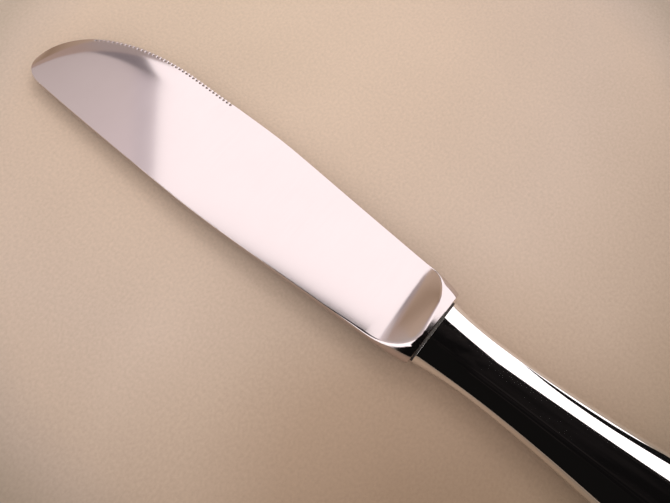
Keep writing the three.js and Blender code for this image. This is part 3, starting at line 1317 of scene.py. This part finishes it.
    def _mirrored(self, right: float, down: float, height: float) -> Vector:
        """Place at a height that a level mirror under the camera shows in a given direction.

        Args:
            right: To the right of the image, for each unit of height.
            down: Down the image, for each unit of height.
            height: Height above the table in metres.

        Returns:
            The place in metres.
        """
        foot, across, along = self._bases()
        run = height + self.view.place[2] * MILLIMETRE
        return foot + (across * right + along * down) * run + Vector((0.0, 0.0, height))

    def _around(self, turn: float, distance: float) -> Vector:
        """Place on the table round the knife.

        Args:
            turn: Bearing in degrees, clockwise from the top of the image.
            distance: Level distance in metres.

        Returns:
            The place in metres.
        """
        _, across, along = self._bases()
        angle = math.radians(turn)
        return (across * math.sin(angle) - along * math.cos(angle)) * distance

    def _fence(
        self, name: str, turns: tuple, distance: float, levels: tuple, finish: bpy.types.Material
    ) -> None:
        """Upright cards round the knife.

        Args:
            name: Name of the cards.
            turns: Bearings in degrees of their upright edges.
            distance: Level distance in metres.
            levels: Heights of their lower and upper edges in metres.
            finish: Their finish.
        """
        low, high = (Vector((0.0, 0.0, level)) for level in levels)
        for number, (first, second) in enumerate(zip(turns, turns[1:])):
            feet = [self._around(turn, distance) for turn in (first, second)]
            corners = [feet[0] + low, feet[1] + low, feet[1] + high, feet[0] + high]
            self._card(f"{name}_{number}", corners, finish)

    def _plan(self, name: str, plan: tuple, height: float, finish: bpy.types.Material) -> None:
        """Level card over the knife, laid out as a mirror under the camera shows it."""
        self._card(name, [self._mirrored(right, down, height) for right, down in plan], finish)

    def _beside(self, shift: float, rise: float) -> Vector:
        """Corner of the dark card that stands beside the handle.

        Args:
            shift: Place along the card in millimetres.
            rise: Elevation seen from the handle in degrees.

        Returns:
            The place in metres.
        """
        _, across, along = self._bases()
        level = across * (shift + self.arch_distance) + along * (shift - self.arch_distance)
        height = self.arch_lift + self.arch_distance * math.tan(math.radians(rise))
        return Vector(self.arch_foot) + (level * math.sqrt(0.5) + Vector((0.0, 0.0, height))) * MILLIMETRE

    def _table(self) -> bpy.types.Object:
        """Lays the paper table.

        Returns:
            The table.
        """
        r = self.table_half
        corners = [(-r, -r, 0), (r, -r, 0), (r, r, 0), (-r, r, 0)]
        return self._card("table_top", corners, TablePaper().make(), Sight.ALL)

    def _world(self) -> None:
        """Even light from all round, and a pale backdrop where the camera or metal looks past the table."""
        world = bpy.data.worlds.new("studio")
        bpy.context.scene.world = world
        world.cycles.sampling_method = "NONE"
        shader = Shader(world)
        ray = shader.node("ShaderNodeLightPath", {}, {})
        seen = ray.out("Is Camera Ray") + ray.out("Is Glossy Ray") + ray.out("Is Transmission Ray")
        light = shader.node("ShaderNodeBackground", {}, {"Color": (*self.ambient, 1.0), "Strength": 1.0})
        back = shader.node("ShaderNodeBackground", {}, {"Color": (*self.backdrop, 1.0), "Strength": 1.0})
        both = shader.node("ShaderNodeMixShader", {}, {0: seen, 1: light.out(), 2: back.out()})
        shader.node("ShaderNodeOutputWorld", {}, {"Surface": both.out()})

    def _lamp(self) -> None:
        """Soft pool of light over the blade, which falls off towards the handle."""
        data = bpy.data.lights.new("pool", "SPOT")
        data.energy = self.lamp_power
        data.color = self.lamp_colour
        data.spot_size = 2 * math.atan(self.lamp_reach / self.lamp_height)
        data.spot_blend = 1.0
        data.shadow_soft_size = self.lamp_radius
        lamp = bpy.data.objects.new("pool", data)
        aim = self._mirrored(*self.lamp_aim, 0.0)
        above = Vector((0.0, 0.0, self.lamp_height))
        place = aim + self._around(self.lamp_turn, self.lamp_distance) + above
        turn = (aim - place).to_track_quat("-Z", "Y").to_matrix().to_4x4()
        lamp.matrix_world = Matrix.Translation(place) @ turn
        lamp.visible_glossy = False
        bpy.context.scene.collection.objects.link(lamp)

    def _boxes(self) -> None:
        """Hangs the soft box, the veil beside it and the white cards at the sides."""
        white = Glow("window_white", self.window, self.window_level).make()
        side = Glow("side_white", self.window, self.side_level).make()
        dusk = Glow("gap_dusk", self.gap_colour, 1.0).make()
        pale = Glow("gap_seam", self.seam_colour, 1.0).make()
        veil = GradedGlow("veil_mauve", "X", self.veil_reach, self.veil_tones).make()
        top = self.box_height
        veil_gap, dusk_gap, pale_gap = self.card_gaps
        self._plan("softbox", self.near_edge + self.far_edge, top, white)
        self._plan("veil", self.veil, top + veil_gap, veil)
        self._plan("gap", self.gap, top + dusk_gap, dusk)
        self._plan("seam", self.seam, top + pale_gap, pale)
        self._plan("side_box", self.side_box, top - self.side_drop, side)
        self._fence("window", self.window_turns, self.window_distance, (0.0, top), white)
        self._fence("side", self.side_turns, self.wall_distance, (0.0, top - self.side_drop), side)

    def _room(self) -> None:
        """Puts up the pale wall, the dark ceiling and the dark cards beside the handle."""
        low = GradedGlow("wall_low", "Y", self.wall_reach, self.low_tones).make()
        high = GradedGlow("wall_high", "Y", self.wall_reach, self.high_tones).make()
        black = Glow("flag_black", self.flag_colour, self.flag_level).make()
        joint, top = self.wall_joint, self.box_height
        self._fence("wall_low", self.wall_turns, self.wall_distance, (0.0, joint), low)
        self._fence("wall_high", self.wall_turns, self.wall_distance, (joint, top), high)
        r = self.ceiling_half
        corners = ((-r, -r), (r, -r), (r, r), (-r, r))
        self._plan("ceiling", corners, self.ceiling_height, CeilingDusk().make())
        tall = Vector((0, 0, self.flag_height))
        for number, end in enumerate(self.flag_ends):
            feet = [self._mirrored(*place, 0.0) for place in (self.flag_corner, end)]
            self._card(f"flag_{number}", [*feet, feet[1] + tall, feet[0] + tall], black)
        self._card("arch", [self._beside(*corner) for corner in self.arch], black)

    def build(self) -> None:
        """Sets up table, light, cards and world."""
        self._table()
        self._world()
        self._lamp()
        self._boxes()
        self._room()
        bpy.context.scene.view_settings.view_transform = "Standard"


def main() -> None:
    """Builds the knife, piece by piece, and the studio round it."""
    logging.basicConfig(level=logging.INFO, format="%(name)s: %(message)s")
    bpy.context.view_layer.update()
    axes = KnifeAxes()
    silver = PolishedSilver().make()
    view = Viewpoint()
    view.build()
    pieces = [Blade(axes).build(ForgedSteel().make())]
    pieces += Handle(axes).build(silver, FiledSolder().make())
    pieces += JointFittings().dress(silver, ResinCement().make())
    for piece in pieces:
        LOG.info("%s: %d faces", piece.name, len(piece.data.polygons))
    Studio(view).build()


if __name__ == "__main__":
    main()
